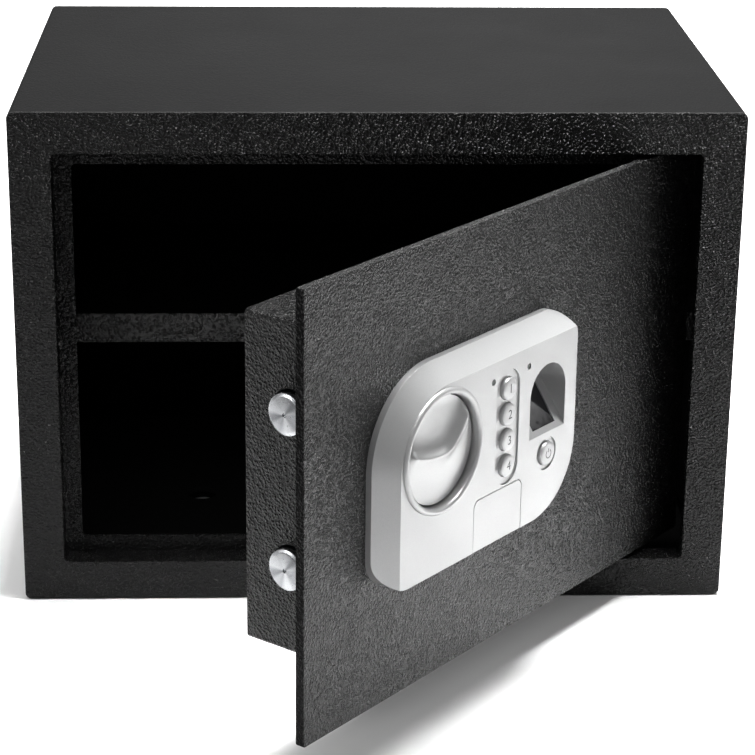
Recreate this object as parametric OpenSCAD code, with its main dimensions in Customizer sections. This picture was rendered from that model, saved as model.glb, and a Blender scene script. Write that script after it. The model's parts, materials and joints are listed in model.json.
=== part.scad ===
// Small home safe: steel cabinet, swing door with two round locking bolts, and a
// control panel with a turn knob, four number keys, a start key and a finger reader.
// Origin: middle of the underside. X to the right seen from the front, Y to the back, Z up.

/* [Cabinet] */
// Outside width of the cabinet
body_w = 350; // [346:1:360]
// Outside depth of the cabinet
body_d = 250; // [240:1:280]
// Outside height of the cabinet
body_h = 250; // [248:1:256]
// Thickness of the cabinet sheet
sheet = 2; // [1.5:0.1:2]
// Width of the border round the door opening
border = 20; // [19.5:0.1:20]
// How far the edge of the opening is folded back
return_depth = 13.5; // [13.5:0.1:15]
// How far the stop lip stands into the opening
lip = 8.5; // [7.5:0.1:8.5]
// Height of the top of the shelf
shelf_z = 124.3; // [118:0.1:132]
// Distance from the front face back to the shelf
shelf_setback = 80; // [76:1:110]
// Diameter of the holes for the anchor bolts
anchor_d = 12; // [8:1:14]
// Distance between the two anchor holes
anchor_pitch = 180; // [120:5:220]

/* [Door] */
// How far the door stands open, in degrees
door_angle = 50.3; // [0:0.1:104]
// Thickness of the door plate
door_t = 4; // [3.5:0.1:4]
// Gap all round the door plate
door_gap = 2.5; // [2:0.1:3]
// How far the shut door lies behind the front face
door_recess = 9; // [8.5:0.1:9]
// Distance from the edge of the opening to the hinge axis
hinge_inset = 27.6; // [27:0.1:29]
// Distance from the face of the door back to the hinge axis
hinge_back = 17.7; // [17.4:0.1:18]
// Depth of the pan behind the door plate
pan_depth = 36.9; // [36:0.1:38]

/* [Lock] */
// Diameter of the locking bolts
bolt_d = 18.6; // [16:0.2:19]
// Distance between the two bolts
bolt_pitch = 70; // [66:1:74]
// How far the bolts travel
bolt_travel = 14; // [10:0.5:14]
// How far the drawn-in bolts stand out of the pan
bolt_proud = 4.5; // [3.5:0.1:5]
// How far the knob turns, in degrees
knob_travel = 76; // [60:1:80]

/* [Control panel] */
// Width of the control panel
panel_w = 143; // [142:0.5:145]
// Height of the control panel
panel_h = 95.5; // [95:0.5:97]
// Thickness of the control panel
panel_t = 12; // [12:0.1:13]
// Diameter of the knob
knob_d = 49.2; // [46:0.2:49.4]
// Diameter of the number keys
key_d = 10.4; // [9:0.1:10.8]
// Distance between the number keys
key_pitch = 12.3; // [12:0.1:12.6]

/* [Hidden] */
$fn = 64;

// Room between parts that move past each other, and a running fit on a shaft
slip = 0.35;
running = 0.06;
eps = 0.01;

// Cabinet
mid_z = body_h / 2;
front_y = -body_d / 2;
back_y = body_d / 2;
open_w = body_w - 2 * border;
open_h = body_h - 2 * border;
lip_y = front_y + return_depth;
lip_back = lip_y + sheet;
hinge_return = 8;
lip_end_x = open_w / 2 - 25.5;
inner_w = body_w - 2 * sheet;
shelf_t = 1.5;
shelf_y = front_y + shelf_setback;
shelf_flange = 16;
ledge_w = 14;
mat_t = 3;

// Door, measured with the door shut: y is 0 on the face of the door plate
door_w = open_w - 2 * door_gap;
door_h = open_h - 2 * door_gap;
hinge_x = open_w / 2 - hinge_inset;
hinge_y = front_y + door_recess + hinge_back;
pan_l = -140.5;
pan_r = 105;
pan_b = 58;
pan_top = 208;
pan_sheet = 1.5;
pan_back = door_t + pan_depth;
bolt_y = 16.2;
bolt_z = (pan_b + pan_top) / 2;
bolt_tip = pan_l - bolt_proud;
bolt_foot = -108;

// Hinge: one lug of the door turns under the upper bracket, one over the lower bracket
pin_r = 4;
lug_t = 3;
lug_z = mid_z + open_h / 2 - lip - 5.5;
bracket_z = lug_z + lug_t + 2;
washer_t = 1.5;

// Control panel
panel_x = -39;
panel_z = 127.75;
face_y = -panel_t;
panel_left = panel_x - panel_w / 2;
panel_right = panel_x + panel_w / 2;
panel_bottom = panel_z - panel_h / 2;
panel_top = panel_z + panel_h / 2;
skirt_h = 3;
chamfer = panel_t - skirt_h;
corner_bl = 15;
corner_br = 34;
corner_tr = 14;
corner_tl = 42;
knob_x = -71.5;
knob_z = 136.5;
knob_well_r = knob_d / 2 + 1;
knob_floor = -3;
key_x = -22.8;
key_z1 = 151.6;
power_x = 9.4;
power_z = 110.7;
power_d = 11.2;
key_gap = 0.3;
dish_r = 9;
dish_deep = 0.8;
led_z = 157.5;
led_x = [-34.5, -6.8];
reader_l = -5;
reader_r = 23.5;
reader_b = 121;
reader_x = (reader_l + reader_r) / 2;
reader_r2 = (reader_r - reader_l) / 2;
reader_top = 154.5;
reader_deep = 19.3;
ramp_run = 29;
reader_back = 9.5;
lock_x = -29;
lock_z = 92;
lock_r = 8;
plug_r = 5;
cover_l = -47.6;
cover_r = -10;
cover_top = 105;
cover_t = 1.6;
screw_spots = [[-98, 92], [-50, 168.5], [22, 166], [22, 97]];

// Lock works inside the pan
shaft_r = 6;
cam_r = 20;
cam_y = 20;
cam_t = 4;
cam_pin_at = bolt_travel / (2 * sin(knob_travel / 2));
cam_pin_r = 3.5;
arm_y = 26;
arm_t = 3;
arm_b = 124;
arm_top = 163;
post_x = -98;
post_z = [130, 158];
post_r = 2.5;
chassis_t = 1.5;
coil_top = 104;
plunger_r = 3;
plunger_y = cam_y + cam_t / 2;
notch_w = 7.2;
notch_r = 14.5;

// Battery case behind the hatch of the pan
case_l = 4;
case_r = 68;
case_b = 66;
case_top = 126;
case_front = 20;
cell_r = 7.1;
cell_len = 50.5;
hatch_slide = 66;
reset_x = 86;
reset_z = 180;

// Places its children in the open door
module on_door() {
    translate([hinge_x, hinge_y, 0])
        rotate(door_angle)
            translate([-hinge_x, -hinge_back, 0]) children();
}

// A flat shape drawn in X and Z, from y0 back to y1
module slab(y0, y1) {
    translate([0, y1, 0]) rotate([90, 0, 0]) linear_extrude(y1 - y0) children();
}

// Round bars along the three axes, from a to b
module bar_x(r, a, b) translate([a, 0, 0]) rotate([0, 90, 0]) cylinder(r = r, h = b - a);
module bar_y(r, a, b) translate([0, a, 0]) rotate([-90, 0, 0]) cylinder(r = r, h = b - a);
module bar_z(r, a, b) translate([0, 0, a]) cylinder(r = r, h = b - a);

module box(x0, x1, y0, y1, z0, z1) {
    translate([x0, y0, z0]) cube([x1 - x0, y1 - y0, z1 - z0]);
}

// Rectangle with a radius of its own at each corner: left bottom, right bottom, right top, left top
module leaf(x0, x1, z0, z1, lb, rb, rt, lt) {
    polygon([[x0 + lb, z0], [x1 - rb, z0], [x1, z0 + rb], [x1, z1 - rt],
        [x1 - rt, z1], [x0 + lt, z1], [x0, z1 - lt], [x0, z0 + lb]]);
    translate([x0 + lb, z0 + lb]) circle(lb);
    translate([x1 - rb, z0 + rb]) circle(rb);
    translate([x1 - rt, z1 - rt]) circle(rt);
    translate([x0 + lt, z1 - lt]) circle(lt);
}

module rounded(w, h, r) translate([0, mid_z]) leaf(-w / 2, w / 2, -h / 2, h / 2, r, r, r, r);

module opening_outline() rounded(open_w, open_h, 2.5);

// Upright or level slot with round ends
module slot_x(x0, x1, z, r) {
    translate([x0, z - r]) square([x1 - x0, 2 * r]);
    for (x = [x0, x1]) translate([x, z]) circle(r);
}
module slot_z(x, z0, z1, r) {
    translate([x - r, z0]) square([2 * r, z1 - z0]);
    for (z = [z0, z1]) translate([x, z]) circle(r);
}

// ---------- Cabinet ----------

module body_wrap() color("#2b2b2c") difference() {
    slab(front_y + sheet, back_y) rounded(body_w, body_h, 3);
    slab(front_y, back_y + 1) rounded(inner_w, body_h - 2 * sheet, 1);
    for (side = [-1, 1])
        translate([side * anchor_pitch / 2, 0, 0]) bar_z(anchor_d / 2, -1, sheet + 1);
}

module back_panel() color("#242425")
    slab(back_y - sheet, back_y) rounded(inner_w, body_h - 2 * sheet, 1);

// Face with a folded edge; the fold is shallow and has no lip where the door swings in
module front_frame() color("#2e2e2f") {
    slab(front_y, front_y + sheet) difference() {
        rounded(body_w, body_h, 3);
        opening_outline();
    }
    difference() {
        slab(front_y + sheet, lip_y) difference() {
            rounded(open_w + 2 * sheet, open_h + 2 * sheet, 4);
            opening_outline();
        }
        box(open_w / 2 - 1, open_w / 2 + 9, front_y + hinge_return, lip_y + 1, 0, body_h);
    }
    slab(lip_y, lip_back) difference() {
        intersection() {
            rounded(open_w + 2 * sheet, open_h + 2 * sheet, 4);
            translate([-body_w, 0]) square([body_w + lip_end_x, body_h]);
        }
        translate([0, mid_z]) leaf(-open_w / 2 + lip, open_w, -open_h / 2 + lip,
            open_h / 2 - lip, 2, 2, 2, 2);
    }
}

// The upper hinge parts; the lower ones are their mirror image
module lower() translate([0, 0, body_h]) mirror([0, 0, 1]) children();

module hinge_bracket() color("#2b2b2c") difference() {
    union() {
        translate([0, 0, bracket_z]) linear_extrude(lug_t) {
            translate([hinge_x, hinge_y]) circle(9);
            translate([hinge_x - 31, lip_back]) square([31, hinge_y + 9 - lip_back]);
        }
        box(hinge_x - 31, hinge_x, lip_back, lip_back + lug_t, bracket_z, bracket_z + 8);
    }
    translate([hinge_x, hinge_y, 0]) bar_z(pin_r, bracket_z - 1, bracket_z + 9);
}
module hinge_bracket_upper() hinge_bracket();
module hinge_bracket_lower() lower() hinge_bracket();

module hinge_pin() color("#b9babc") translate([hinge_x, hinge_y, 0]) {
    bar_z(pin_r, lug_z - 6, bracket_z + lug_t);
    bar_z(6, bracket_z + lug_t, bracket_z + lug_t + 2);
}
module hinge_pin_upper() hinge_pin();
module hinge_pin_lower() lower() hinge_pin();

module hinge_washer() color("#b08d4a") translate([hinge_x, hinge_y, 0]) difference() {
    bar_z(7.5, lug_z + lug_t + 0.3, lug_z + lug_t + 0.3 + washer_t);
    bar_z(pin_r + running, lug_z, bracket_z + 1);
}
module hinge_washers() {
    hinge_washer();
    lower() hinge_washer();
}

module shelf() color("#29292a") {
    box(-inner_w / 2 + 0.5, inner_w / 2 - 0.5, shelf_y, back_y - sheet - 2, shelf_z - shelf_t, shelf_z);
    box(-inner_w / 2 + 0.5, inner_w / 2 - 0.5, shelf_y, shelf_y + shelf_t,
        shelf_z - shelf_flange, shelf_z - shelf_t);
}

module shelf_ledges() color("#29292a") for (side = [0, 1]) mirror([side, 0, 0]) {
    box(inner_w / 2 - ledge_w, inner_w / 2, shelf_y + 5, back_y - sheet - 6,
        shelf_z - 2 * shelf_t, shelf_z - shelf_t);
    box(inner_w / 2 - shelf_t, inner_w / 2, shelf_y + 5, back_y - sheet - 6,
        shelf_z - shelf_flange, shelf_z - 2 * shelf_t);
}

module floor_mat() color("#1c1c1d") difference() {
    box(-inner_w / 2 + 3, inner_w / 2 - 3, lip_back + 4, back_y - sheet - 3, sheet, sheet + mat_t);
    for (side = [-1, 1])
        translate([side * anchor_pitch / 2, 0, 0]) bar_z(anchor_d / 2 + 2, 0, sheet + mat_t + 1);
}

// ---------- Door ----------

module door_plate() color("#303031") on_door() difference() {
    slab(0, door_t) rounded(door_w, door_h, 1.5);
    translate([knob_x, 0, knob_z]) bar_y(8, -1, door_t + 1);
    translate([lock_x, 0, lock_z]) bar_y(lock_r + 0.5, -1, door_t + 1);
    box(4, 16, -1, door_t + 1, 101, 108);
    slab(-1, door_t + 1) reader_outline(2);
    for (s = screw_spots) translate([s[0], 0, s[1]]) bar_y(2, -1, door_t + 1);
}

module lug() {
    translate([hinge_x, hinge_back]) circle(9.5);
    translate([hinge_x - 9.5, door_t]) square([19, hinge_back - door_t]);
}

module hinge_channel() color("#303031") on_door() difference() {
    union() {
        box(hinge_x - 17, hinge_x + 9.5, door_t, door_t + lug_t, body_h - lug_z - lug_t, lug_z + lug_t);
        for (z = [lug_z, body_h - lug_z - lug_t]) translate([0, 0, z]) linear_extrude(lug_t) lug();
    }
    translate([hinge_x, hinge_back, 0]) bar_z(pin_r + running, 0, body_h);
}

module door_pan() color("#2e2e2f") on_door() difference() {
    slab(door_t, pan_back) leaf(pan_l, pan_r, pan_b, pan_top, 2, 2, 2, 2);
    slab(door_t - 1, pan_back - pan_sheet)
        leaf(pan_l + pan_sheet, pan_r - pan_sheet, pan_b + pan_sheet, pan_top - pan_sheet, 1, 1, 1, 1);
    for (side = [-1, 1]) translate([0, bolt_y, bolt_z + side * bolt_pitch / 2])
        bar_x(bolt_d / 2 + 0.9, pan_l - 1, pan_l + pan_sheet + 1);
    box(case_l + 3, case_r - 3, pan_back - 3, pan_back + 1, case_b + 3, case_top - 3);
    translate([reset_x, 0, reset_z]) bar_y(4 + slip, pan_back - 3, pan_back + 1);
    for (p = pan_posts) translate([p[0], 0, p[1]]) bar_y(2, pan_back - 3, pan_back + 1);
}

pan_posts = [[pan_l + 10.5, pan_b + 10], [pan_l + 10.5, pan_top - 10],
    [pan_r - 10, pan_b + 10], [pan_r - 10, pan_top - 10]];

module pan_standoffs() color("#a9abad") on_door() for (p = pan_posts)
    translate([p[0], 0, p[1]]) difference() {
        bar_y(4, door_t, pan_back - pan_sheet);
        bar_y(2, pan_back - pan_sheet - 10, pan_back);
    }

module pan_screws() color("#9fa1a3") on_door() for (p = pan_posts)
    translate([p[0], 0, p[1]]) {
        bar_y(2, pan_back - pan_sheet - 10, pan_back);
        difference() {
            bar_y(3.8, pan_back, pan_back + 2.4);
            for (turn = [0, 90]) rotate([0, turn, 0]) box(-2.4, 2.4, pan_back + 1.2, pan_back + 3, -0.5, 0.5);
        }
    }

// ---------- Lock works ----------

module lock_chassis() color("#8d9092") on_door() difference() {
    union() {
        box(-130, -44, door_t, door_t + chassis_t, 80, 188);
        box(-130, -127, door_t + chassis_t, 34, bolt_z - bolt_pitch / 2 - 14, bolt_z + bolt_pitch / 2 + 14);
    }
    for (side = [-1, 1]) translate([0, bolt_y, bolt_z + side * bolt_pitch / 2])
        bar_x(bolt_d / 2 + slip, -131, -126);
    translate([knob_x, 0, knob_z]) bar_y(8, 0, 10);
    for (s = screw_spots) translate([s[0], 0, s[1]]) bar_y(4.5, 0, 10);
}

module guide_posts() color("#b9babc") on_door() for (z = post_z) translate([post_x, 0, z]) {
    bar_y(post_r, door_t + chassis_t, arm_y + arm_t + 0.6);
    bar_y(4.5, arm_y + arm_t + 0.6, arm_y + arm_t + 2);
}

module shaft_bush() color("#b08d4a") on_door() translate([knob_x, 0, knob_z]) difference() {
    union() {
        bar_y(8, 0, door_t + chassis_t);
        bar_y(10, door_t + chassis_t, door_t + chassis_t + 1.5);
    }
    bar_y(shaft_r + running, -1, 10);
}

// Plate that joins both bolts, with an arm that the cam pin drives through an upright slot
module bolt_carrier() color("#9a9d9f") on_door() difference() {
    union() {
        box(bolt_foot, bolt_foot + 4, 8, arm_y + arm_t, bolt_z - bolt_pitch / 2 - 12,
            bolt_z + bolt_pitch / 2 + 12);
        box(bolt_foot + 4, knob_x + 20, arm_y, arm_y + arm_t, arm_b, arm_top);
    }
    slab(arm_y - 1, arm_y + arm_t + 1) {
        for (z = post_z) slot_x(post_x, post_x + bolt_travel, z, post_r + slip);
        slot_z(knob_x + bolt_travel / 2, knob_z + cam_pin_at * cos(knob_travel / 2) - 0.5,
            knob_z + cam_pin_at + 0.5, cam_pin_r + 0.45);
    }
    for (side = [-1, 1]) translate([0, bolt_y, bolt_z + side * bolt_pitch / 2])
        bar_x(2.5, bolt_foot - 1, bolt_foot + 5);
}

// Turned bolt with a bevelled rim, a centre mark and a tapped foot
module locking_bolt(side) color("#c9cbcd") on_door()
    translate([bolt_tip, bolt_y, bolt_z + side * bolt_pitch / 2]) rotate([0, 90, 0])
        rotate_extrude() polygon([[0, 1], [1.1, 0], [bolt_d / 2 - 1, 0], [bolt_d / 2, 1],
            [bolt_d / 2, bolt_foot - bolt_tip], [2.5, bolt_foot - bolt_tip],
            [2.5, bolt_foot - bolt_tip - 14], [0, bolt_foot - bolt_tip - 14]]);
module locking_bolt_upper() locking_bolt(1);
module locking_bolt_lower() locking_bolt(-1);

module bolt_screws() color("#8f9193") on_door() for (side = [-1, 1])
    translate([0, bolt_y, bolt_z + side * bolt_pitch / 2]) {
        bar_x(2.5, bolt_foot - 13, bolt_foot + 4);
        translate([bolt_foot + 4, 0, 0]) rotate([0, 90, 0]) cylinder(r = 4.6, h = 3.5, $fn = 6);
    }

module knob() color("#c4c6c8") on_door() translate([knob_x, 0, knob_z]) difference() {
    union() {
        bar_y(knob_d / 2, -8.6, knob_floor - 0.4);
        intersection() {
            bar_y(knob_d / 2, -13.2, -8);
            rotate([0, -14, 0]) box(-30, 30, -13.2, -8, -3.5, 3.5);
        }
    }
    bar_y(shaft_r, -6.5, 0);
}

module knob_shaft() color("#b9babc") on_door() translate([knob_x, 0, knob_z]) {
    bar_y(shaft_r, -6.5, cam_y);
    bar_y(4.95, cam_y, cam_y + cam_t + 1.5);
}

// Disc with a pin for the carrier and a notch for the plunger at each end of its travel
module knob_cam() color("#9a9d9f") on_door() translate([knob_x, 0, knob_z]) difference() {
    bar_y(cam_r, cam_y, cam_y + cam_t);
    bar_y(5, cam_y - 1, cam_y + cam_t + 1);
    for (turn = [0, knob_travel]) rotate([0, turn, 0])
        box(-notch_w / 2, notch_w / 2, cam_y - 1, cam_y + cam_t + 1, -cam_r - 1, -notch_r);
}

module cam_pin() color("#b9babc") on_door() translate([knob_x, 0, knob_z])
    rotate([0, knob_travel / 2, 0]) translate([0, 0, cam_pin_at])
        bar_y(cam_pin_r, cam_y + cam_t, arm_y + arm_t + 1.5);

module cam_clip() color("#6f7274") on_door() translate([knob_x, 0, knob_z]) difference() {
    bar_y(6.4, cam_y + cam_t + 0.1, cam_y + cam_t + 1.1);
    bar_y(5, cam_y + cam_t - 1, cam_y + cam_t + 3);
}

module solenoid_body() color("#7d8083") on_door() difference() {
    union() {
        box(knob_x - 13, knob_x + 13, door_t + chassis_t, 35, coil_top - 28, coil_top - 26);
        box(knob_x - 13, knob_x + 13, door_t + chassis_t, 35, coil_top - 2, coil_top);
        box(knob_x - 13, knob_x - 11, door_t + chassis_t, 35, coil_top - 26, coil_top - 2);
        translate([knob_x, plunger_y, 0]) bar_z(10, coil_top - 26, coil_top - 2);
    }
    translate([knob_x, plunger_y, 0]) bar_z(plunger_r + slip, coil_top - 16, coil_top + 1);
}

module solenoid_plunger() color("#b9babc") on_door() translate([knob_x, plunger_y, 0]) {
    bar_z(plunger_r, coil_top - 10, knob_z - cam_r - 0.6);
    bar_z(5.2, knob_z - cam_r - 6.4, knob_z - cam_r - 5.4);
}

// Closed rings stand for the turns of the light coil spring
module solenoid_spring() color("#a5a7a9") on_door()
    translate([knob_x, plunger_y, coil_top + 0.5]) for (turn = [0:4])
        translate([0, 0, turn * 1.25]) rotate_extrude() translate([4.1, 0]) circle(0.4, $fn = 24);

module solenoid_leads() color("#7a1f1f") on_door() for (z = [79, 81.4])
    translate([0, 31, z]) bar_x(0.8, knob_x + 13, case_l);

// ---------- Control panel ----------

module panel_outline(inset) leaf(panel_left + inset, panel_right - inset, panel_bottom + inset,
    panel_top - inset, corner_bl - inset, corner_br - inset, corner_tr - inset, corner_tl - inset);

// The wide bevel along the left and top edges, as the waste that is cut away
module bevel_waste() {
    cx = panel_left + corner_tl;
    cz = panel_top - corner_tl;
    translate([0, 0, panel_bottom - 1]) linear_extrude(cz - panel_bottom + 1)
        polygon([[panel_left - eps, -skirt_h], [panel_left + chamfer, face_y - eps],
            [panel_left - 2, face_y - eps], [panel_left - 2, -skirt_h]]);
    translate([cx, 0, 0]) rotate([90, 0, 90]) linear_extrude(panel_right - cx + 1)
        polygon([[-skirt_h, panel_top + eps], [face_y - eps, panel_top - chamfer],
            [face_y - eps, panel_top + 2], [-skirt_h, panel_top + 2]]);
    translate([cx, 0, cz]) rotate([90, 0, 0]) rotate([0, 0, 90]) rotate_extrude(angle = 90)
        polygon([[corner_tl + eps, skirt_h], [corner_tl - chamfer, panel_t + eps],
            [corner_tl + 2, panel_t + eps], [corner_tl + 2, skirt_h]]);
}

module reader_outline(grow) {
    translate([reader_l - grow, reader_b - grow])
        square([reader_r - reader_l + 2 * grow, reader_top - reader_r2 - reader_b + grow]);
    translate([reader_x, reader_top - reader_r2]) circle(reader_r2 + grow);
}

// Everything in front of the slope on which a finger rests
module above_slope() rotate([90, 0, 90]) translate([0, 0, reader_l - 5]) linear_extrude(40)
    polygon([[face_y - 1, reader_b - ramp_run / reader_deep], [face_y + reader_deep, reader_b + ramp_run],
        [face_y + reader_deep, reader_top + 5], [face_y - 1, reader_top + 5]]);

// Places its children on the slope: x along the cabinet, y up the slope, z out of it
module on_slope() translate([reader_x, face_y, reader_b])
    rotate([atan2(ramp_run, reader_deep), 0, 0]) children();

module panel_housing() color("#c9cbcd") on_door() difference() {
    union() {
        difference() {
            slab(face_y, 0) panel_outline(0);
            bevel_waste();
            slab(-skirt_h + 0.5, 1) panel_outline(2.5);
            slab(face_y + 2.5, 1) panel_outline(chamfer + 1.5);
        }
        translate([knob_x, 0, knob_z]) bar_y(knob_well_r + 2, face_y, 0);
        slab(face_y, reader_back) reader_outline(1.5);
        for (s = screw_spots) translate([s[0], 0, s[1]]) bar_y(3.5, -6, 0);
        translate([knob_x, face_y, knob_z]) rotate([-90, 0, 0]) rotate_extrude()
            translate([knob_well_r + 1.6, 0]) circle(1.6);
    }
    translate([knob_x, 0, knob_z]) {
        bar_y(knob_well_r, face_y - 3, knob_floor);
        bar_y(shaft_r + slip, -6, 1);
    }
    intersection() {
        slab(face_y - 1, reader_back - 1) reader_outline(0);
        above_slope();
    }
    on_slope() translate([-9, 3, -3]) cube([18, 28, 4]);
    slab(face_y - 1, face_y + dish_deep) slot_z(key_x, key_z1 - 3 * key_pitch, key_z1, dish_r);
    slab(face_y - 1, face_y + dish_deep) translate([power_x, power_z]) circle(8);
    for (i = [0:3]) translate([key_x, 0, key_z1 - i * key_pitch]) bar_y(key_d / 2 + key_gap, face_y - 1, 0);
    translate([power_x, 0, power_z]) bar_y(power_d / 2 + key_gap, face_y - 1, 0);
    for (x = led_x) translate([x, 0, led_z]) bar_y(1.5, face_y - 1, 0);
    slab(face_y - 1, face_y + cover_t) leaf(cover_l, cover_r, panel_bottom - 9, cover_top, 4, 4, 4, 4);
    translate([lock_x, 0, lock_z]) bar_y(lock_r + slip, face_y - 1, 1);
    for (s = screw_spots) translate([s[0], 0, s[1]]) bar_y(1.5, -5.5, 1);
}

module panel_screws() color("#9fa1a3") on_door() for (s = screw_spots) translate([s[0], 0, s[1]]) {
    bar_y(1.5, -5, door_t);
    bar_y(3.4, door_t, door_t + 2);
}

module board_outline() {
    translate([-43, 108]) square([35, 56]);
    translate([-10, 156.8]) square([7, 7]);
    translate([-16, 102]) square([32, 15]);
}
module circuit_board() color("#1f5a34") on_door() slab(-4.6, -3) board_outline();

module board_chips() color("#222222") on_door() {
    box(-40, -30, -3, -1.4, 118, 128);
    box(-40, -34, -3, -1.8, 136, 144);
    box(-20, -12, -3, -1.6, 140, 150);
    box(2, 10, -3, -1.6, 108, 114);
}

module keypad_membrane() color("#3a3a3c") on_door() slab(-6.5, -4.8) {
    slot_z(key_x, key_z1 - 3 * key_pitch, key_z1, 7);
    translate([power_x, power_z]) circle(6.2);
}

module keycap(x, z, d) color("#cfd1d3") on_door() translate([x, 0, z]) {
    bar_y(d / 2, face_y - 0.7, -7.7);
    bar_y(d / 2 + 0.7, -9.3, -7.7);
    translate([0, face_y - 0.7, 0]) rotate([90, 0, 0]) cylinder(r1 = d / 2, r2 = d / 2 - 0.8, h = 0.7);
}
module keycap_1() keycap(key_x, key_z1, key_d);
module keycap_2() keycap(key_x, key_z1 - key_pitch, key_d);
module keycap_3() keycap(key_x, key_z1 - 2 * key_pitch, key_d);
module keycap_4() keycap(key_x, key_z1 - 3 * key_pitch, key_d);
module power_key() keycap(power_x, power_z, power_d);

module indicator_leds() color("#3c4a3c") on_door() for (x = led_x) translate([x, 0, led_z])
    bar_y(1.35, face_y + 0.4, -4.6);

module fingerprint_window() color("#0c0c0e") on_door() on_slope() translate([-9, 3, -1.9]) cube([18, 28, 1.4]);
module sensor_module() color("#26303a") on_door() on_slope() translate([-8, 4, -2.9]) cube([16, 26, 1]);

// The cover slides down off the emergency lock
module key_cover() color("#cdcfd1") on_door() slab(face_y, face_y + cover_t - 0.2) intersection() {
    leaf(cover_l + slip, cover_r - slip / 2, panel_bottom - 9, cover_top - slip, 4, 4, 4, 4);
    translate([cover_l, panel_bottom]) square([cover_r - cover_l, 40]);
}

module override_lock() color("#a9abad") on_door() translate([lock_x, 0, lock_z]) difference() {
    bar_y(lock_r, face_y + cover_t + 0.4, 26);
    bar_y(plug_r + running, face_y, 27);
}

module lock_plug() color("#b7a36a") on_door() translate([lock_x, 0, lock_z]) difference() {
    bar_y(plug_r, face_y + cover_t + 0.4, 28);
    box(-0.6, 0.6, face_y, 12, -3.5, 3.5);
}

module override_cam() color("#8f9193") on_door() translate([lock_x, 0, lock_z]) {
    bar_y(5.5, 28, 30);
    box(-3, 3, 28, 30, 5, 16);
}

// ---------- Battery case, hatch and reset button ----------

module battery_box() color("#232325") on_door() difference() {
    box(case_l, case_r, case_front, pan_back - pan_sheet, case_b, case_top);
    box(case_l + 1.2, case_r - 1.2, case_front + 1.2, pan_back, case_b + 1.2, case_top - 1.2);
}

module batteries() color("#b9872f") on_door() for (i = [0:3])
    translate([case_l + 10.4 + i * 14.4, case_front + 1.8 + cell_r, case_b + 3])
        bar_z(cell_r, 0, cell_len);

module battery_cover() color("#262628") on_door()
    box(case_l - 2, case_r + 2, pan_back, pan_back + 2, case_b - 2, case_top + 2);

// Each rail has a lip that holds the edge of the cover
module cover_rails() color("#262628") on_door() for (side = [-1, 1]) {
    edge = (case_b + case_top) / 2 + side * ((case_top - case_b) / 2 + 2 + slip);
    box(case_l - hatch_slide - 2, case_r + 2, pan_back, pan_back + 3.4,
        edge - (1 - side) / 2 * 2, edge + (1 + side) / 2 * 2);
    box(case_l - hatch_slide - 2, case_r + 2, pan_back + 2 + slip, pan_back + 3.4,
        edge - (1 + side) / 2 * 1.5 - eps, edge + (1 - side) / 2 * 1.5 + eps);
}

module reset_switch() color("#303033") on_door()
    difference() {
        box(reset_x - 6, reset_x + 6, 32, pan_back - pan_sheet, reset_z - 6, reset_z + 6);
        translate([reset_x, 0, reset_z]) bar_y(4 + slip, 34.5, pan_back);
    }
module reset_button() color("#8c2320") on_door() translate([reset_x, 0, reset_z])
    bar_y(4, 36.5, pan_back + 2.4);

module ribbon_cable() color("#8a8d91") on_door() box(6, 14, -3, case_front, 104, 104.8);

body_wrap();
back_panel();
front_frame();
hinge_bracket_upper();
hinge_bracket_lower();
hinge_pin_upper();
hinge_pin_lower();
hinge_washers();
shelf();
shelf_ledges();
floor_mat();
door_plate();
hinge_channel();
door_pan();
pan_standoffs();
pan_screws();
lock_chassis();
guide_posts();
shaft_bush();
solenoid_body();
solenoid_spring();
solenoid_plunger();
solenoid_leads();
panel_housing();
panel_screws();
circuit_board();
board_chips();
keypad_membrane();
indicator_leds();
fingerprint_window();
sensor_module();
override_lock();
lock_plug();
override_cam();
key_cover();
battery_box();
batteries();
battery_cover();
cover_rails();
reset_switch();
reset_button();
ribbon_cable();
knob();
knob_shaft();
knob_cam();
cam_pin();
cam_clip();
bolt_carrier();
locking_bolt_upper();
locking_bolt_lower();
bolt_screws();
keycap_1();
keycap_2();
keycap_3();
keycap_4();
power_key();
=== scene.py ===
"""Small home safe: black powder-coated cabinet and door, silver control panel, steel bolts."""
import json
import logging
import math
from dataclasses import dataclass, field
from enum import Enum
from typing import Sequence

import bmesh
import bpy
from mathutils import Matrix, Vector


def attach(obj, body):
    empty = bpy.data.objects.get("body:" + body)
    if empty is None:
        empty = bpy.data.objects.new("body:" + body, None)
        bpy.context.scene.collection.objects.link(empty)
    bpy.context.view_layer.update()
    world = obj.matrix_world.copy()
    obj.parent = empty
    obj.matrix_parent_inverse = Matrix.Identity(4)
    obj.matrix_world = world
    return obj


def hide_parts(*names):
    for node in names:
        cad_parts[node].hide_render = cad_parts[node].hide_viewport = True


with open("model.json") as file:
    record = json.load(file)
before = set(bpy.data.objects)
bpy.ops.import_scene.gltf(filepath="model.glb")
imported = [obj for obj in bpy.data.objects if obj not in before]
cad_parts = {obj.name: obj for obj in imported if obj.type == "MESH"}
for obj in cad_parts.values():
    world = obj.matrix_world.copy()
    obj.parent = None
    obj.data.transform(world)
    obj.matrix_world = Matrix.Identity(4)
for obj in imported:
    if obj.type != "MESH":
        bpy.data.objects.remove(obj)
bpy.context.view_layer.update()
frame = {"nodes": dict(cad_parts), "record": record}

MM = 0.001
# Points nearer than this are one point: in metres for a carried-over mesh, in
# millimetres for a shape drawn here and for the outline of a key's mark.
WELD = 2e-6
WELD_MM = 1e-4
WELD_MARK_MM = 1e-5
LOG = logging.getLogger("safe")


# ---------- Frames and helpers ----------

class Grain(Enum):
    """How coarse the leather-like relief of a powder coat is."""

    COARSE = 1.0
    FINE = 0.45


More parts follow.
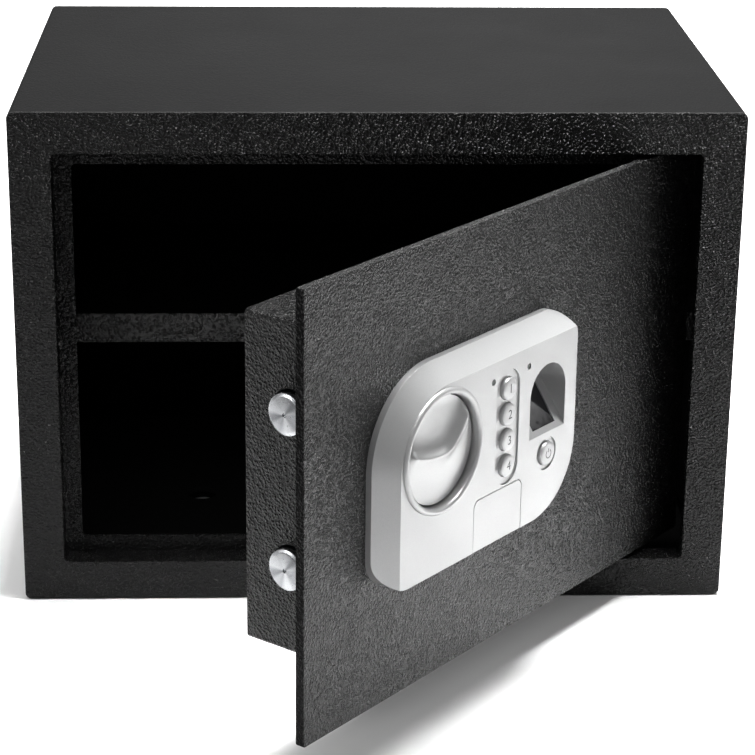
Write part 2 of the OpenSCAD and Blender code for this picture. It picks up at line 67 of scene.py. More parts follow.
@dataclass(frozen=True)
class DoorFrame:
    """Turns lengths measured on the shut door into the row frame at rest.

    Sizes are in millimetres: x to the right, y back from the door's face, z up.
    """

    angle: float = math.radians(50.3)
    hinge_x: float = 127.4
    hinge_y: float = -98.3
    face_to_axis: float = 17.7

    def matrix(self) -> Matrix:
        """Matrix from door millimetres to row metres."""
        return (Matrix.Translation(Vector((self.hinge_x, self.hinge_y, 0)) * MM)
                @ Matrix.Rotation(self.angle, 4, "Z")
                @ Matrix.Translation(Vector((-self.hinge_x, -self.face_to_axis, 0)) * MM)
                @ Matrix.Scale(MM, 4))

    def along(self) -> tuple[float, float, float]:
        """Direction of the door's width, from its free edge to its hinge."""
        return (math.cos(self.angle), math.sin(self.angle), 0.0)


DOOR = DoorFrame()


def new_object(name: str, bm: bmesh.types.BMesh, place: Matrix | None = None,
               smooth: float | None = 35.0) -> bpy.types.Object:
    """Makes an object at the origin from a bmesh.

    Args:
        name: Name of the piece.
        bm: Geometry, freed here.
        place: Matrix applied to the geometry.
        smooth: Largest angle that is shaded smooth, in degrees, or None for flat.

    Returns:
        The linked object.
    """
    if place is not None:
        bmesh.ops.transform(bm, matrix=place, verts=bm.verts)
    bmesh.ops.recalc_face_normals(bm, faces=bm.faces)
    mesh = bpy.data.meshes.new(name)
    bm.to_mesh(mesh)
    bm.free()
    obj = bpy.data.objects.new(name, mesh)
    bpy.context.scene.collection.objects.link(obj)
    if smooth is not None:
        mesh.shade_smooth()
        mesh.set_sharp_from_angle(angle=math.radians(smooth))
    return obj


def settle(obj: bpy.types.Object, body: str, material: bpy.types.Material,
           nodes: Sequence[str] = ()) -> bpy.types.Object:
    """Gives a piece its material, its body and the nodes it stands for."""
    obj.data.materials.clear()
    obj.data.materials.append(material)
    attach(obj, body)
    if nodes:
        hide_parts(*nodes)
    LOG.info("%s on %s: %d faces", obj.name, body, len(obj.data.polygons))
    return obj


def lathe(profile: Sequence[tuple[float, float]], along_x: bool, steps: int) -> bmesh.types.BMesh:
    """Spins a profile through a full turn.

    Args:
        profile: Radius and distance along the axis of each point, in millimetres.
        along_x: Whether the axis is x, rather than y.
        steps: Steps round the turn.

    Returns:
        The turned solid.
    """
    bm = bmesh.new()
    verts = [bm.verts.new((s, r, 0) if along_x else (r, s, 0)) for r, s in profile]
    edges = [bm.edges.new(pair) for pair in zip(verts, verts[1:])]
    axis = (1, 0, 0) if along_x else (0, 1, 0)
    bmesh.ops.spin(bm, geom=[*verts, *edges], cent=(0, 0, 0), axis=axis, dvec=(0, 0, 0),
                   angle=math.tau, steps=steps, use_merge=True, use_duplicate=False)
    bmesh.ops.remove_doubles(bm, verts=bm.verts, dist=WELD_MM)
    return bm


def body_of_node(node: str) -> str:
    """Name of the body a CAD node belongs to."""
    bodies = frame["record"]["behaviour"]["bodies"]
    return next(name for name, nodes in bodies.items() if node in nodes)


def slot_of_node(node: str) -> str:
    """Name of the material slot a CAD node uses."""
    rows = frame["record"]["subparts"]
    return next(row["material_slot"] for row in rows if row["node"] == node)


def rounded_copy(node: str, width: float, material: bpy.types.Material, segments: int = 3,
                 angle: float = 30.0, flat: float = 1.0) -> bpy.types.Object:
    """Copies a CAD node, cleans its faces and rounds its sharp edges.

    Args:
        node: CAD node that the copy stands for.
        width: Width of the rounding in millimetres.
        material: Finish of the piece.
        segments: Steps across the rounding.
        angle: Edges sharper than this many degrees are rounded.
        flat: Neighbouring faces within this many degrees become one.

    Returns:
        The piece, riding on the node's body.
    """
    bm = bmesh.new()
    bm.from_mesh(frame["nodes"][node].data)
    bmesh.ops.remove_doubles(bm, verts=bm.verts, dist=WELD)
    bmesh.ops.dissolve_limit(bm, angle_limit=math.radians(flat), use_dissolve_boundaries=False,
                             verts=bm.verts, edges=bm.edges)
    obj = new_object(f"{node}_finished", bm, smooth=32.0)
    mod = obj.modifiers.new("edges", "BEVEL")
    mod.width = width * MM
    mod.segments = segments
    mod.limit_method = "ANGLE"
    mod.angle_limit = math.radians(angle)
    mod.profile = 0.5
    mod.use_clamp_overlap = True
    mod.harden_normals = False
    settle(obj, body_of_node(node), material, (node,))
    return obj


# ---------- Finishes ----------

class Nodes:
    """Small builder for a node material on Object coordinates."""

    def __init__(self, name: str) -> None:
        """Starts a material with one Principled shader."""
        self.material = bpy.data.materials.new(name)
        self.material.use_nodes = True
        self.tree = self.material.node_tree
        self.tree.nodes.clear()
        self.out = self.tree.nodes.new("ShaderNodeOutputMaterial")
        self.shader = self.tree.nodes.new("ShaderNodeBsdfPrincipled")
        self.link(self.shader.outputs["BSDF"], self.out.inputs["Surface"])
        self.coord = self.tree.nodes.new("ShaderNodeTexCoord").outputs["Object"]

    def link(self, a: bpy.types.NodeSocket, b: bpy.types.NodeSocket) -> None:
        """Joins two sockets."""
        self.tree.links.new(a, b)

    def mapped(self, scale: Sequence[float] = (1, 1, 1),
               turn: Sequence[float] = (0, 0, 0),
               move: Sequence[float] = (0, 0, 0)) -> bpy.types.NodeSocket:
        """Object coordinates, turned, stretched and moved."""
        node = self.tree.nodes.new("ShaderNodeMapping")
        node.inputs["Scale"].default_value = scale
        node.inputs["Rotation"].default_value = turn
        node.inputs["Location"].default_value = move
        self.link(self.coord, node.inputs["Vector"])
        return node.outputs["Vector"]

    def noise(self, size_mm: float, detail: float = 2.0, rough: float = 0.5,
              vector: bpy.types.NodeSocket | None = None) -> bpy.types.NodeSocket:
        """Noise whose features are about size_mm across."""
        node = self.tree.nodes.new("ShaderNodeTexNoise")
        node.inputs["Scale"].default_value = 1.0 / (size_mm * MM)
        node.inputs["Detail"].default_value = detail
        node.inputs["Roughness"].default_value = rough
        self.link(vector or self.coord, node.inputs["Vector"])
        return node.outputs["Fac"]

    def cells(self, size_mm: float,
              vector: bpy.types.NodeSocket | None = None) -> bpy.types.NodeSocket:
        """Rounded pebbles about size_mm across."""
        node = self.tree.nodes.new("ShaderNodeTexVoronoi")
        node.feature = "F1"
        node.inputs["Scale"].default_value = 1.0 / (size_mm * MM)
        self.link(vector or self.coord, node.inputs["Vector"])
        return node.outputs["Distance"]

    def warped(self, size_mm: float, shift_mm: float) -> bpy.types.NodeSocket:
        """Object coordinates pushed about by a noise, so that cells lose their regular look."""
        noise = self.tree.nodes.new("ShaderNodeTexNoise")
        noise.inputs["Scale"].default_value = 1.0 / (size_mm * MM)
        self.link(self.coord, noise.inputs["Vector"])
        push = self.tree.nodes.new("ShaderNodeVectorMath")
        push.operation = "MULTIPLY_ADD"
        push.inputs[1].default_value = (shift_mm * MM,) * 3
        self.link(noise.outputs["Color"], push.inputs[0])
        self.link(self.coord, push.inputs[2])
        return push.outputs["Vector"]

    def span(self, value: bpy.types.NodeSocket, low: float, high: float,
             start: float = 0.3, end: float = 0.7) -> bpy.types.NodeSocket:
        """Maps start..end of a value onto low..high."""
        node = self.tree.nodes.new("ShaderNodeMapRange")
        node.inputs["From Min"].default_value = start
        node.inputs["From Max"].default_value = end
        node.inputs["To Min"].default_value = low
        node.inputs["To Max"].default_value = high
        self.link(value, node.inputs["Value"])
        return node.outputs["Result"]

    def blend(self, factor: bpy.types.NodeSocket, a: Sequence[float],
              b: Sequence[float]) -> bpy.types.NodeSocket:
        """Mixes two colours."""
        node = self.tree.nodes.new("ShaderNodeMix")
        node.data_type = "RGBA"
        node.inputs[6].default_value = (*a, 1)
        node.inputs[7].default_value = (*b, 1)
        self.link(factor, node.inputs[0])
        return node.outputs[2]

    def bump(self, height: bpy.types.NodeSocket, depth_mm: float, strength: float = 1.0,
             below: bpy.types.NodeSocket | None = None) -> bpy.types.NodeSocket:
        """Relief of a height socket, laid over an earlier one."""
        node = self.tree.nodes.new("ShaderNodeBump")
        node.inputs["Strength"].default_value = strength
        node.inputs["Distance"].default_value = depth_mm * MM
        self.link(height, node.inputs["Height"])
        if below is not None:
            self.link(below, node.inputs["Normal"])
        return node.outputs["Normal"]

    def feed(self, socket: str, value: bpy.types.NodeSocket) -> None:
        """Feeds one input of the shader."""
        self.link(value, self.shader.inputs[socket])

    def fixed(self, **values: float) -> None:
        """Sets constants of the shader; underscores stand for spaces."""
        for name, value in values.items():
            self.shader.inputs[name.replace("_", " ")].default_value = value


@dataclass(frozen=True)
class PowderCoat:
    """Black powder coat with a pebbled, leather-like skin."""

    name: str
    shade: float = 0.012
    gloss: float = 0.30
    cell_mm: float = 1.9
    relief_mm: float = 0.16
    grain: Grain = Grain.COARSE
    sheen: float = 0.5
    dull_edge_x: float | None = None
    dull_band: tuple[float, float] = (0.0005, 0.0012)
    dull_share: float = 0.12

    def edge_sheen(self, n: "Nodes") -> None:
        """Dulls the coat on the narrow left edge of the door plate."""
        corner = DOOR.matrix() @ Vector((self.dull_edge_x, 0, 0))
        start = Matrix.Rotation(-DOOR.angle, 4, "Z") @ corner
        split = n.tree.nodes.new("ShaderNodeSeparateXYZ")
        n.link(n.mapped(turn=(0, 0, -DOOR.angle), move=tuple(-c for c in start)), split.inputs[0])
        start_m, end_m = self.dull_band
        low = self.sheen * self.dull_share
        dulled = n.span(split.outputs["X"], low, self.sheen, start_m, end_m)
        n.feed("Specular IOR Level", dulled)

    def build(self) -> bpy.types.Material:
        """Makes the material."""
        n = Nodes(self.name)
        broad = n.noise(38.0, 3.0)
        fleck = n.noise(0.7, 2.0)
        low = tuple(self.shade * k for k in (0.86, 0.86, 0.88))
        high = tuple(self.shade * k for k in (1.2, 1.2, 1.22))
        n.feed("Base Color", n.blend(n.span(broad, 0.0, 1.0), low, high))
        n.feed("Roughness", n.span(fleck, self.gloss - 0.04, self.gloss + 0.08))
        depth = self.relief_mm * self.grain.value
        warp = n.warped(self.cell_mm * 1.6, self.cell_mm * 0.55)
        pebble = n.span(n.cells(self.cell_mm, warp), 1.0, 0.0, 0.12, 0.62)
        skin = n.bump(pebble, depth)
        skin = n.bump(n.noise(self.cell_mm * 0.8, 3.0, 0.6), depth * 0.9, below=skin)
        skin = n.bump(n.noise(self.cell_mm * 5.0, 2.0), depth * 1.2, below=skin)
        n.link(skin, n.shader.inputs["Normal"])
        n.fixed(Metallic=0.0, Specular_IOR_Level=self.sheen)
        if self.dull_edge_x is not None:
            self.edge_sheen(n)
        return n.material


@dataclass(frozen=True)
class SilverLacquer:
    """Moulded plastic sprayed with a fine metallic silver."""

    name: str
    shade: float = 0.52
    gloss: float = 0.34
    metal: float = 0.62

    def build(self) -> bpy.types.Material:
        """Makes the material."""
        n = Nodes(self.name)
        flake = n.noise(0.25, 1.0)
        cloud = n.noise(24.0, 2.0)
        s = self.shade
        base = n.blend(n.span(flake, 0.0, 1.0), (s * 0.93, s * 0.94, s * 0.95), (s * 1.05,) * 3)
        n.feed("Base Color", base)
        n.feed("Roughness", n.span(cloud, self.gloss - 0.03, self.gloss + 0.05))
        n.link(n.bump(flake, 0.012, below=n.bump(n.noise(1.1), 0.006)), n.shader.inputs["Normal"])
        n.fixed(Metallic=self.metal, Specular_IOR_Level=0.5)
        return n.material


@dataclass(frozen=True)
class Steel:
    """Bare or plated metal, drawn or turned."""

    name: str
    shade: Sequence[float] = (0.55, 0.56, 0.58)
    gloss: float = 0.24
    streak: Sequence[float] = (1.0, 1.0, 14.0)
    relief_mm: float = 0.01

    def build(self) -> bpy.types.Material:
        """Makes the material."""
        n = Nodes(self.name)
        lines = n.noise(1.4, 4.0, 0.6, n.mapped(self.streak))
        stain = n.noise(9.0, 3.0)
        dark = tuple(c * 0.78 for c in self.shade)
        n.feed("Base Color", n.blend(n.span(stain, 0.0, 1.0), dark, self.shade))
        n.feed("Roughness", n.span(lines, self.gloss - 0.06, self.gloss + 0.12))
        n.link(n.bump(lines, self.relief_mm), n.shader.inputs["Normal"])
        n.fixed(Metallic=1.0)
        return n.material


@dataclass(frozen=True)
class TurnedSteelPaintedReflection:
    """Bolt steel whose fine lathe grooves run round the bolt's axis, with a painted reflection:
    dark and bright sectors round the axis in its colour.
    """

    name: str
    depth: float
    height: float
    gloss: float = 0.24
    ring_mm: float = 0.7
    cut_mm: float = 0.06
    painted_reflection_sectors: float = 0.85
    # Colours of the painted reflection's dark and bright sectors.
    dark: Sequence[float] = (0.1, 0.105, 0.115)
    shade: Sequence[float] = (0.6, 0.61, 0.63)

    def build(self) -> bpy.types.Material:
        """Makes the material, with its grooves and its painted reflection centred on the bolt."""
        n = Nodes(self.name)
        centre = DOOR.matrix() @ Vector((0, self.depth, self.height))
        arm = n.tree.nodes.new("ShaderNodeVectorMath")
        arm.operation = "SUBTRACT"
        arm.inputs[1].default_value = centre
        n.link(n.coord, arm.inputs[0])
        groove = n.tree.nodes.new("ShaderNodeVectorMath")
        groove.operation = "CROSS_PRODUCT"
        groove.inputs[1].default_value = DOOR.along()
        n.link(arm.outputs["Vector"], groove.inputs[0])
        n.feed("Tangent", groove.outputs["Vector"])
        around = n.tree.nodes.new("ShaderNodeVectorMath")
        around.operation = "NORMALIZE"
        n.link(groove.outputs["Vector"], around.inputs[0])
        # Painted reflection: noise over the angle round the axis mixes dark and bright sectors
        # into the base colour, standing in for the bow-tie highlight of turned steel.
        painted_reflection_sector = n.tree.nodes.new("ShaderNodeTexNoise")
        painted_reflection_sector.inputs["Scale"].default_value = self.painted_reflection_sectors
        painted_reflection_sector.inputs["Detail"].default_value = 1.5
        n.link(around.outputs["Vector"], painted_reflection_sector.inputs["Vector"])
        painted_reflection_share = n.span(painted_reflection_sector.outputs["Fac"], 0.0, 1.0, 0.32, 0.62)
        n.feed("Base Color", n.blend(painted_reflection_share, self.dark, self.shade))
        n.feed("Roughness", n.span(n.noise(3.2, 2.0), self.gloss - 0.03, self.gloss + 0.05))
        spin = n.tree.nodes.new("ShaderNodeVectorMath")
        spin.operation = "LENGTH"
        n.link(groove.outputs["Vector"], spin.inputs[0])
        rings = n.tree.nodes.new("ShaderNodeTexNoise")
        rings.noise_dimensions = "1D"
        rings.inputs["Scale"].default_value = 1.0 / (self.ring_mm * MM)
        n.link(spin.outputs["Value"], rings.inputs["W"])
        n.link(n.bump(rings.outputs["Fac"], self.cut_mm), n.shader.inputs["Normal"])
        n.fixed(Metallic=1.0, Anisotropic=0.9)
        return n.material


@dataclass(frozen=True)
class Moulded:
    """Plain moulded plastic, rubber or film."""

    name: str
    colour: Sequence[float] = (0.03, 0.03, 0.03)
    gloss: float = 0.45
    texture_mm: float = 0.5
    relief_mm: float = 0.02
    spread: float = 0.15

    def build(self) -> bpy.types.Material:
        """Makes the material."""
        n = Nodes(self.name)
        grain = n.noise(self.texture_mm, 2.0)
        cloud = n.noise(12.0, 2.0)
        low = tuple(c * (1 - self.spread) for c in self.colour)
        high = tuple(min(1.0, c * (1 + self.spread)) for c in self.colour)
        n.feed("Base Color", n.blend(n.span(cloud, 0.0, 1.0), low, high))
        n.feed("Roughness", n.span(grain, self.gloss - 0.05, self.gloss + 0.07))
        n.link(n.bump(grain, self.relief_mm), n.shader.inputs["Normal"])
        return n.material


@dataclass
class Palette:
    """All finishes of the safe, by the material slot they paint."""

    made: dict[str, bpy.types.Material] = field(default_factory=dict)

    def build(self) -> None:
        """Makes one material for every slot of the record."""
        finishes = {
            "cabinet_paint": PowderCoat("satin_top_coat", 0.003, 0.5, 1.5, 0.22, Grain.FINE, 0.05),
            "frame_paint": PowderCoat("leather_coat", 0.002, 0.22, 1.55, 0.8, sheen=0.18),
            "door_paint": PowderCoat("door_leather_coat", 0.003, 0.27, 1.4, 0.42, sheen=0.4,
                                     dull_edge_x=-152.5),
            "inner_paint": PowderCoat("inner_coat", 0.003, 0.42, 1.7, 0.5),
            "mat_rubber": Moulded("floor_mat_felt", (0.006, 0.006, 0.006), 0.85, 0.9, 0.15),
            "bolt_steel": Steel("turned_steel", (0.72, 0.73, 0.75), 0.2),
            "pin_steel": Steel("drawn_steel"),
            "plated_steel": Steel("zinc_plate", (0.5, 0.52, 0.55), 0.34, (1, 1, 1)),
            "screw_steel": Steel("screw_plate", (0.5, 0.5, 0.52), 0.3, (1, 1, 1)),
            "spring_steel": Steel("spring_wire", (0.45, 0.45, 0.46), 0.3, (1, 1, 1)),
            "coil_copper": Steel("coil_frame", (0.36, 0.37, 0.39), 0.38, (1, 1, 1)),
            "brass_part": Steel("turned_brass", (0.62, 0.46, 0.2), 0.28, (1, 1, 6)),
            "panel_plastic": SilverLacquer("panel_silver", 0.42, 0.38),
            "knob_plastic": SilverLacquer("knob_silver", 0.44, 0.34),
            "key_plastic": SilverLacquer("key_silver", 0.45, 0.42),
            "cover_plastic": SilverLacquer("cover_silver", 0.42, 0.38),
            "reader_glass": Moulded("reader_window", (0.004, 0.004, 0.006), 0.08, 3.0, 0.001),
            "sensor_black": Moulded("sensor_pack", (0.02, 0.03, 0.04), 0.4),
            "board_green": Moulded("board_mask", (0.02, 0.11, 0.04), 0.3),
            "chip_black": Moulded("chip_pack", (0.02, 0.02, 0.02), 0.5),
            "membrane_rubber": Moulded("key_mat", (0.05, 0.05, 0.05), 0.7),
            "led_plastic": Moulded("lamp_lens", (0.03, 0.035, 0.03), 0.15, 2.0, 0.002),
            "case_plastic": Moulded("case_black", (0.02, 0.02, 0.021), 0.5, 0.6, 0.05),
            "cell_wrap": Moulded("cell_sleeve", (0.35, 0.17, 0.03), 0.25, 3.0, 0.004),
            "reset_plastic": Moulded("reset_red", (0.3, 0.012, 0.01), 0.3, 0.8, 0.01),
            "lead_plastic": Moulded("lead_sleeve", (0.2, 0.01, 0.01), 0.45),
            "ribbon_plastic": Moulded("ribbon_grey", (0.3, 0.31, 0.33), 0.5),
        }
        self.made = {slot: finish.build() for slot, finish in finishes.items()}

    def dress_frame(self) -> None:
        """Gives every carried-over CAD node its finish."""
        for node, obj in frame["nodes"].items():
            material = self.made[slot_of_node(node)]
            if not obj.material_slots:
                obj.data.materials.append(material)
            for row in obj.material_slots:
                row.material = material


# ---------- Sub-assemblies ----------

@dataclass
class Cabinet:
    """Shell, front frame, shelf and hinge brackets."""

    palette: Palette
    front_round: float = 2.0
    edge_round: float = 0.6

    def build(self) -> None:
        """Rounds the visible sheet edges of the cabinet."""
        made = self.palette.made
        rounded_copy("front_frame", self.front_round, made["frame_paint"], 4)
        rounded_copy("body_wrap", self.edge_round, made["cabinet_paint"])
        for node in ("back_panel", "shelf", "hinge_bracket_upper", "hinge_bracket_lower"):
            rounded_copy(node, 0.5, made[slot_of_node(node)], 2)
        rounded_copy("floor_mat", 1.0, made["mat_rubber"], 2)


@dataclass
class Door:
    """Door plate, hinge channel, pan and what is fixed behind it."""

    palette: Palette
    plate_round: float = 1.0
    pan_round: float = 1.4

    def build(self) -> None:
        """Rounds the plate and the pan."""
        made = self.palette.made
        rounded_copy("door_plate", self.plate_round, made["door_paint"], 4)
        # Painted shade: the pan's coat is a darker, duller copy of the door's coat, so the pan's
        # side reads darker than the door plate.
        pan_shaded_coat = PowderCoat("pan_painted_shade_coat", 0.002, 0.24, 1.5, 0.75, sheen=0.25).build()
        rounded_copy("door_pan", self.pan_round, pan_shaded_coat, 4)
        rounded_copy("hinge_channel", 0.6, made["door_paint"], 2)
        for node in ("battery_cover", "cover_rails", "reset_button", "pan_screws"):
            rounded_copy(node, 0.35, made[slot_of_node(node)], 2)


BOLT_HEIGHTS = {"locking_bolt_upper": 168.0, "locking_bolt_lower": 98.0}


@dataclass
class Bolt:
    """One turned locking bolt; sizes in door millimetres."""

    palette: Palette
    node: str
    height: float
    radius: float = 9.3
    tip_x: float = -145.0
    foot_x: float = -108.0
    depth: float = 16.2
    rim: float = 1.4
    steps: int = 96

    def profile(self) -> list[tuple[float, float]]:
        """Radius and distance from the tip, from the centre mark to the foot."""
        r = self.radius
        return [(0.0, 1.4), (0.9, 0.7), (1.0, 0.1), (1.2, 0.0), (r - self.rim - 0.2, 0.1),
                (r - self.rim, 0.16), (r - 0.15, self.rim - 0.45), (r, self.rim - 0.2),
                (r, self.foot_x - self.tip_x), (0.0, self.foot_x - self.tip_x)]

    def build(self) -> None:
        """Spins the profile about the bolt's axis."""
        bm = lathe(self.profile(), True, self.steps)
        place = DOOR.matrix() @ Matrix.Translation((self.tip_x, self.depth, self.height))
        obj = new_object(f"{self.node}_turned", bm, place, 25.0)
        finish = TurnedSteelPaintedReflection(f"{self.node}_steel", self.depth, self.height).build()
        settle(obj, body_of_node(self.node), finish, (self.node,))


@dataclass
class Knob:
    """Turn knob: a disc with one crest that sweeps across it between two scoops."""

    palette: Palette
    centre: tuple[float, float] = (-71.5, 136.5)
    radius: float = 24.6
    rim_y: float = -9.4
    floor_y: float = -8.8
    back_y: float = -3.4
    crest_y: float = -13.15
    dip: float = -1.2
    left_sweep: float = 0.0094
    right_sweep: float = 0.0466
    upper_flank: float = 4.4
    lower_flank: float = 8.0
    soft: float = 0.5
    rings: int = 44
    spokes: int = 144

    def crest(self, x: float) -> float:
        """Height of the crest line above the centre: level at the left, swept up at the right."""
        return self.dip + (self.left_sweep if x < 0 else self.right_sweep) * x * x

    def height(self, x: float, z: float) -> float:
        """Depth of the knob's skin at a point: two hollow flanks that meet in the crest."""
        reach = math.hypot(x, z) / self.radius
        v = z - self.crest(x)
        slant = 1.0 / math.sqrt(1.0 + (2.0 * self.right_sweep * max(x, 0.0)) ** 2)
        away = math.sqrt((v * slant) ** 2 + self.soft ** 2) - self.soft
        flank = self.upper_flank if v > 0 else self.lower_flank
        drop = 1.0 - math.exp(-away / flank)
        skin = self.crest_y + (self.floor_y - self.crest_y) * drop
        fade = max(0.0, (reach - 0.8) / 0.2) ** 2
        return skin + (self.rim_y - skin) * fade

    def build(self) -> None:
        """Shapes a disc of rings, then closes it at the back."""
        bm = bmesh.new()
        bmesh.ops.create_circle(bm, cap_ends=False, segments=self.spokes, radius=self.radius)
        ring = list(bm.edges)
        for step in range(1, self.rings):
            shrink = 1.0 - step / self.rings
            grown = bmesh.ops.extrude_edge_only(bm, edges=ring)["geom"]
            verts = [g for g in grown if isinstance(g, bmesh.types.BMVert)]
            ring = [g for g in grown if isinstance(g, bmesh.types.BMEdge)]
            for vert in verts:
                vert.co = vert.co.normalized() * self.radius * shrink
        bmesh.ops.contextual_create(bm, geom=ring)
        bmesh.ops.rotate(bm, cent=(0, 0, 0), matrix=Matrix.Rotation(math.radians(90), 3, "X"),
                         verts=bm.verts)
        for vert in bm.verts:
            vert.co.y = self.height(vert.co.x, vert.co.z)
        rim = [e for e in bm.edges if e.is_boundary]
        skirt = bmesh.ops.extrude_edge_only(bm, edges=rim)["geom"]
        for vert in (g for g in skirt if isinstance(g, bmesh.types.BMVert)):
            vert.co.y = self.back_y
        bmesh.ops.contextual_create(bm, geom=[e for e in bm.edges if e.is_boundary])
        place = DOOR.matrix() @ Matrix.Translation((self.centre[0], 0, self.centre[1]))
        obj = new_object("turn_knob", bm, place, 40.0)
        settle(obj, "knob_set", self.palette.made["knob_plastic"], ("knob",))


@dataclass
class Key:
    """One domed key with a mark pressed into its top."""

    palette: Palette
    node: str
    mark: str
    centre: tuple[float, float]
    radius: float = 5.2
    top_y: float = -13.4
    mark_size: float = 6.2
    mark_half: float = 0.06
    mark_sunk: float = 0.04
    ring: tuple[float, float] = (1.75, 2.25)
    gap_deg: float = 35.0
    steps: int = 64

    def cap(self) -> None:
        """Spins the key's domed profile."""
        r = self.radius
        profile = [(0.0, 0.0), (r * 0.5, 0.02), (r - 1.3, 0.08), (r - 0.7, 0.22), (r - 0.25, 0.5),
                   (r, 1.0), (r, 4.1), (r + 0.7, 4.1), (r + 0.7, 5.7), (0.0, 5.7)]
        bm = lathe(profile, False, self.steps)
        place = DOOR.matrix() @ Matrix.Translation((self.centre[0], self.top_y, self.centre[1]))
        obj = new_object(f"{self.node}_dome", bm, place, 30.0)
        finish = self.palette.made["key_plastic"]
        settle(obj, body_of_node(self.node), finish, (self.node,))

    def glyph(self) -> bmesh.types.BMesh:
        """Outline of the numeral as a thin solid, in the plane of the key."""
        curve = bpy.data.curves.new(f"{self.node}_outline", "FONT")
        curve.body = self.mark
        curve.size = self.mark_size
        curve.extrude = self.mark_half
        curve.align_x = "CENTER"
        curve.align_y = "CENTER"
        text = bpy.data.objects.new(f"{self.node}_outline", curve)
        bpy.context.scene.collection.objects.link(text)
        mesh = bpy.data.meshes.new_from_object(text)
        bpy.data.objects.remove(text)
        bm = bmesh.new()
        bm.from_mesh(mesh)
        bpy.data.meshes.remove(mesh)
        return bm

    def power_glyph(self) -> bmesh.types.BMesh:
        """Open ring with a bar through its gap."""
        bm = bmesh.new()
        gap = math.radians(self.gap_deg)
        inner, outer = self.ring
        low, high = -self.mark_half, self.mark_half
        start = [bm.verts.new((math.sin(gap) * r, math.cos(gap) * r, z))
                 for r, z in ((inner, low), (outer, low), (outer, high), (inner, high))]
        face = bm.faces.new(start)
        bmesh.ops.spin(bm, geom=[face, *face.edges, *face.verts], cent=(0, 0, 0), axis=(0, 0, -1),
                       dvec=(0, 0, 0), angle=math.tau - 2 * gap, steps=40, use_merge=False,
                       use_duplicate=False)
        bmesh.ops.create_cube(bm, size=1.0, matrix=Matrix.Translation((0, 1.7, 0))
                              @ Matrix.Diagonal((0.5, 1.9, 0.12, 1)))
        return bm

    def build(self) -> None:
        """Makes the key and its mark."""
        self.cap()
        bm = self.power_glyph() if self.mark == "power" else self.glyph()
        bmesh.ops.remove_doubles(bm, verts=bm.verts, dist=WELD_MARK_MM)
        bmesh.ops.rotate(bm, cent=(0, 0, 0), matrix=Matrix.Rotation(math.radians(90), 3, "X"),
                         verts=bm.verts)
        depth = self.top_y + self.mark_sunk
        place = DOOR.matrix() @ Matrix.Translation((self.centre[0], depth, self.centre[1]))
        obj = new_object(f"{self.node}_mark", bm, place, None)
        settle(obj, body_of_node(self.node), self.palette.made["chip_black"])


@dataclass
class Panel:
    """Silver control panel with its keys, knob and reader."""

    palette: Palette
    key_x: float = -22.8
    key_z: float = 151.6
    pitch: float = 12.3
    power: tuple[float, float] = (9.4, 110.7)
    power_radius: float = 5.6

    def build(self) -> None:
        """Builds the housing and all that is set into it."""
        made = self.palette.made
        rounded_copy("panel_housing", 0.45, made["panel_plastic"], 3, 25.0)
        rounded_copy("key_cover", 0.25, made["cover_plastic"], 2)
        rounded_copy("fingerprint_window", 0.3, made["reader_glass"], 2)
        Knob(self.palette).build()
        for i in range(4):
            centre = (self.key_x, self.key_z - i * self.pitch)
            Key(self.palette, f"keycap_{i + 1}", str(i + 1), centre).build()
        Key(self.palette, "power_key", "power", self.power, self.power_radius).build()


@dataclass(frozen=True)
class SoftBox:
    """One soft box: metres, watts and, for its beam, degrees."""

    name: str
    place: tuple[float, float, float]
    aim: tuple[float, float, float]
    size: tuple[float, float]
    power: float
    spread: float = 180.0

    def build(self) -> None:
        """Hangs the lamp and turns it to its aim."""
        data = bpy.data.lights.new(self.name, "AREA")
        data.shape = "RECTANGLE"
        data.size, data.size_y = self.size
        data.energy = self.power
        data.spread = math.radians(self.spread)
        lamp = bpy.data.objects.new(self.name, data)
        lamp.location = self.place
        beam = Vector(self.aim) - Vector(self.place)
        lamp.rotation_euler = beam.to_track_quat("-Z", "Y").to_euler()
        bpy.context.scene.collection.objects.link(lamp)


SOFT_BOXES = (
    SoftBox("front_top", (0.12, 0.0, 1.2), (0.12, 0.001, 0.0), (0.5, 0.5), 6.8, 50),
    SoftBox("rear_top", (0.0, 1.0, 1.7), (0.0, 1.001, 0.0), (1.3, 0.9), 30, 90),
    SoftBox("back_box", (-0.1, 1.9, 0.95), (0, 0.0, 0.2), (1.4, 0.7), 0.3),
    SoftBox("right_box", (1.4, 0.3, 0.95), (0, -0.2, 0.1), (0.9, 0.6), 3.5),
    SoftBox("left_box", (-1.1, -0.75, 0.75), (-0.1, -0.15, 0.1), (0.2, 0.2), 3),
)


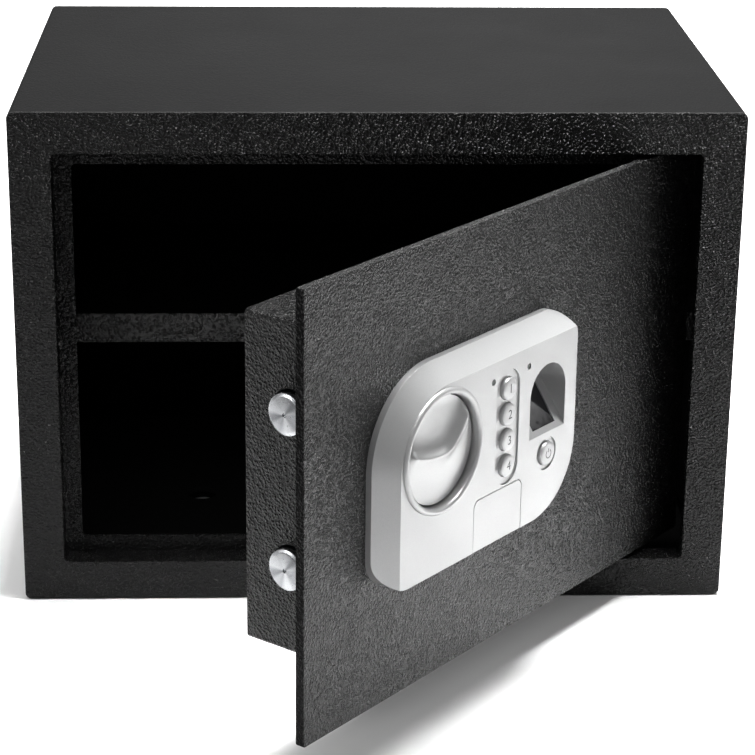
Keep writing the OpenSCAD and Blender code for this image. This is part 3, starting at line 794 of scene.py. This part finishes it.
@dataclass
class Studio:
    """Camera, lamps and floor."""

    eye: Vector = field(default_factory=lambda: Vector((-0.0468, -1.2558, 0.5289)))
    yaw: float = math.radians(2.396)
    pitch: float = math.radians(19.97)
    roll: float = math.radians(0.649)
    lens: float = 117.48
    sensor: float = 36.0
    sky: float = 0.32
    floor_half: float = 6.0
    floor_z: float = -0.0005

    def camera(self) -> None:
        """Sets the camera."""
        forward = Vector((math.sin(self.yaw) * math.cos(self.pitch),
                          math.cos(self.yaw) * math.cos(self.pitch), -math.sin(self.pitch)))
        right = Vector((math.cos(self.yaw), -math.sin(self.yaw), 0))
        up = right.cross(forward)
        right2 = right * math.cos(self.roll) + up * math.sin(self.roll)
        up2 = up * math.cos(self.roll) - right * math.sin(self.roll)
        data = bpy.data.cameras.new("view")
        data.lens = self.lens
        data.sensor_width = self.sensor
        data.clip_start = 0.05
        cam = bpy.data.objects.new("view", data)
        cam.matrix_world = Matrix((
            (right2.x, up2.x, -forward.x, self.eye.x), (right2.y, up2.y, -forward.y, self.eye.y),
            (right2.z, up2.z, -forward.z, self.eye.z), (0, 0, 0, 1)))
        bpy.context.scene.collection.objects.link(cam)
        bpy.context.scene.camera = cam

    def build(self) -> None:
        """Sets up the whole studio."""
        self.camera()
        for box in SOFT_BOXES:
            box.build()
        world = bpy.data.worlds.new("studio")
        world.use_nodes = True
        sky = world.node_tree.nodes["Background"]
        sky.inputs["Color"].default_value = (1, 1, 1, 1)
        sky.inputs["Strength"].default_value = self.sky
        bpy.context.scene.world = world
        bpy.context.scene.view_settings.view_transform = "Standard"
        bm = bmesh.new()
        bmesh.ops.create_grid(bm, x_segments=1, y_segments=1, size=self.floor_half)
        bmesh.ops.translate(bm, vec=(0, 0, self.floor_z), verts=bm.verts)
        floor = new_object("studio_floor", bm, smooth=None)
        paper = Moulded("pale_floor", (0.86, 0.86, 0.86), 0.85, 4.0, 0.001, 0.005)
        floor.data.materials.append(paper.build())


def main() -> None:
    """Builds the safe and its studio."""
    logging.basicConfig(level=logging.INFO, format="%(message)s")
    palette = Palette()
    palette.build()
    palette.dress_frame()
    Cabinet(palette).build()
    Door(palette).build()
    for node, height in BOLT_HEIGHTS.items():
        Bolt(palette, node, height).build()
    Panel(palette).build()
    Studio().build()
    bpy.context.view_layer.update()


if __name__ == "__main__":
    main()
